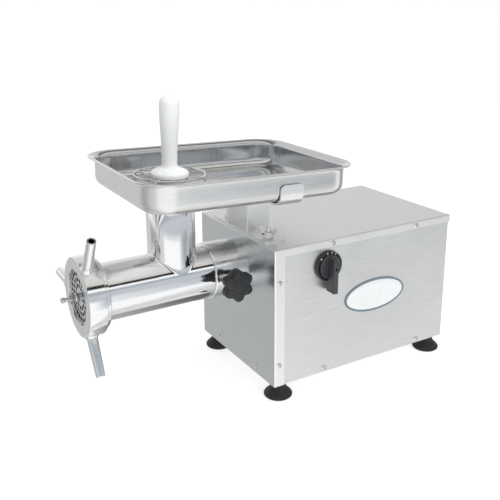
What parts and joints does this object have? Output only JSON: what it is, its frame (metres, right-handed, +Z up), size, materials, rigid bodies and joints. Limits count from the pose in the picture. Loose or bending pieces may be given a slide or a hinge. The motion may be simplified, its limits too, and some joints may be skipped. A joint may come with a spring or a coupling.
{
  "type": "electric meat grinder",
  "caption": "Countertop electric meat grinder: stainless casing with geared motor, worm head with ring nut, feed neck, tray, wire guard and pusher.",
  "frame": {"origin": "centre of the overall footprint, on the floor under the feet", "axes": "+Z up; the head and its outlet point to -Y, the casing lies towards +Y, the switch is on the +X side"},
  "size_m": [0.2418, 0.573, 0.4157],
  "materials": {
    "stainless_sheet": "brushed",
    "polished_steel": "polished",
    "satin_steel": "satin",
    "tray_steel": "polished inside, satin outside",
    "guard_wire": "polished",
    "cutting_steel": "ground",
    "screw_steel": "bright",
    "black_plastic": "moulded",
    "foot_rubber": "moulded",
    "seal_rubber": "moulded",
    "white_plastic": "turned",
    "cast_aluminium": "as cast",
    "gear_steel": "machined",
    "bearing_steel": "ground",
    "lamination_steel": "stacked",
    "winding_copper": "enamelled",
    "grey_paint": "satin",
    "capacitor_can": "drawn",
    "badge_enamel": "gloss"
  },
  "bodies": {
    "root": {"base_plate": "stainless_sheet", "front_plate": "stainless_sheet", "top_cover": "stainless_sheet", "side_panel_right": "stainless_sheet", "side_panel_left": "stainless_sheet", "rear_panel": "stainless_sheet", "casing_screws": "screw_steel", "rubber_feet": "foot_rubber", "foot_screws": "screw_steel", "cable_gland": "black_plastic", "badge_plate": "badge_enamel", "hub_collar": "satin_steel", "hub_bolts": "screw_steel", "oil_seal": "seal_rubber", "gearbox_housing": "cast_aluminium", "gearbox_cover": "cast_aluminium", "gearbox_bolts": "screw_steel", "output_bearings": "bearing_steel", "layshaft_bearings": "bearing_steel", "motor_shell": "cast_aluminium", "motor_front_bell": "cast_aluminium", "motor_rear_bell": "cast_aluminium", "motor_bearings": "bearing_steel", "stator_core": "lamination_steel", "stator_windings": "winding_copper", "fan_cowl": "grey_paint", "motor_feet": "cast_aluminium", "motor_bolts": "screw_steel", "capacitor": "capacitor_can", "capacitor_clamp": "grey_paint", "switch_block": "black_plastic", "switch_bezel": "black_plastic", "tray_bracket": "stainless_sheet", "tray_cradle": "stainless_sheet", "bracket_studs": "screw_steel"},
    "output": {"output_shaft": "gear_steel", "output_gear": "gear_steel"},
    "layshaft": {"layshaft": "gear_steel", "layshaft_gear": "gear_steel"},
    "rotor": {"rotor_shaft": "gear_steel", "rotor_core": "lamination_steel", "motor_fan": "black_plastic"},
    "head": {"barrel": "polished_steel", "plate_pin": "cutting_steel", "grinding_plate": "cutting_steel", "thrust_washer": "cutting_steel"},
    "worm": {"worm": "cutting_steel", "knife": "cutting_steel"},
    "ring": {"ring_nut": "polished_steel", "ring_handles": "polished_steel"},
    "lock": {"lock_stud": "screw_steel", "lock_knob": "black_plastic"},
    "tray": {"tray": "tray_steel", "tray_throat": "tray_steel", "wire_guard": "guard_wire"},
    "pusher": {"pusher": "white_plastic"},
    "switch": {"switch_spindle": "screw_steel", "switch_knob": "black_plastic"},
    "wing_right": {"wing_nut_right": "screw_steel"},
    "wing_left": {"wing_nut_left": "screw_steel"}
  },
  "joints": [
    {"name": "drive_spin", "type": "hinge", "parent": "root", "child": "output", "pos_m": [-0.0024, -0.0115, 0.169], "axis": [0, 1, 0], "continuous": true},
    {"name": "worm_spin", "type": "hinge", "parent": "head", "child": "worm", "pos_m": [-0.0024, -0.1333, 0.169], "axis": [0, 1, 0], "continuous": true},
    {"name": "layshaft_spin", "type": "hinge", "parent": "root", "child": "layshaft", "pos_m": [0.02501, -0.0115, 0.12959], "axis": [0, 1, 0], "continuous": true},
    {"name": "rotor_spin", "type": "hinge", "parent": "root", "child": "rotor", "pos_m": [-0.0024, 0.0835, 0.104], "axis": [0, 1, 0], "continuous": true},
    {"name": "head_pull", "type": "slide", "parent": "root", "child": "head", "axis": [0, -1, 0], "range_m": [0, 0.048]},
    {"name": "ring_nut_turn", "type": "hinge", "parent": "head", "child": "ring", "pos_m": [-0.0024, -0.266, 0.169], "axis": [0, -1, 0], "range_deg": [0, 1170]},
    {"name": "lock_knob_turn", "type": "hinge", "parent": "root", "child": "lock", "pos_m": [0.0556, -0.072, 0.169], "axis": [1, 0, 0], "range_deg": [0, 630]},
    {"name": "tray_lift", "type": "slide", "parent": "head", "child": "tray", "axis": [0, 0.0349, 0.9994], "range_m": [0, 0.08]},
    {"name": "pusher_slide", "type": "slide", "parent": "tray", "child": "pusher", "axis": [0, 0.0349, 0.9994], "range_m": [0, 0.12]},
    {"name": "switch_turn", "type": "hinge", "parent": "root", "child": "switch", "pos_m": [0.1021, 0.0498, 0.1834], "axis": [1, 0, 0], "range_deg": [-60, 60]},
    {"name": "wing_right_turn", "type": "hinge", "parent": "root", "child": "wing_right", "pos_m": [0.0536, -0.015, 0.225], "axis": [0, 0, 1], "range_deg": [0, 585]},
    {"name": "wing_left_turn", "type": "hinge", "parent": "root", "child": "wing_left", "pos_m": [-0.0584, -0.015, 0.225], "axis": [0, 0, 1], "range_deg": [0, 585]}
  ],
  "couplings": [
    {"joint": "worm_spin", "follows": "drive_spin", "ratio": 1},
    {"joint": "layshaft_spin", "follows": "drive_spin", "ratio": -3},
    {"joint": "rotor_spin", "follows": "drive_spin", "ratio": 12}
  ]
}
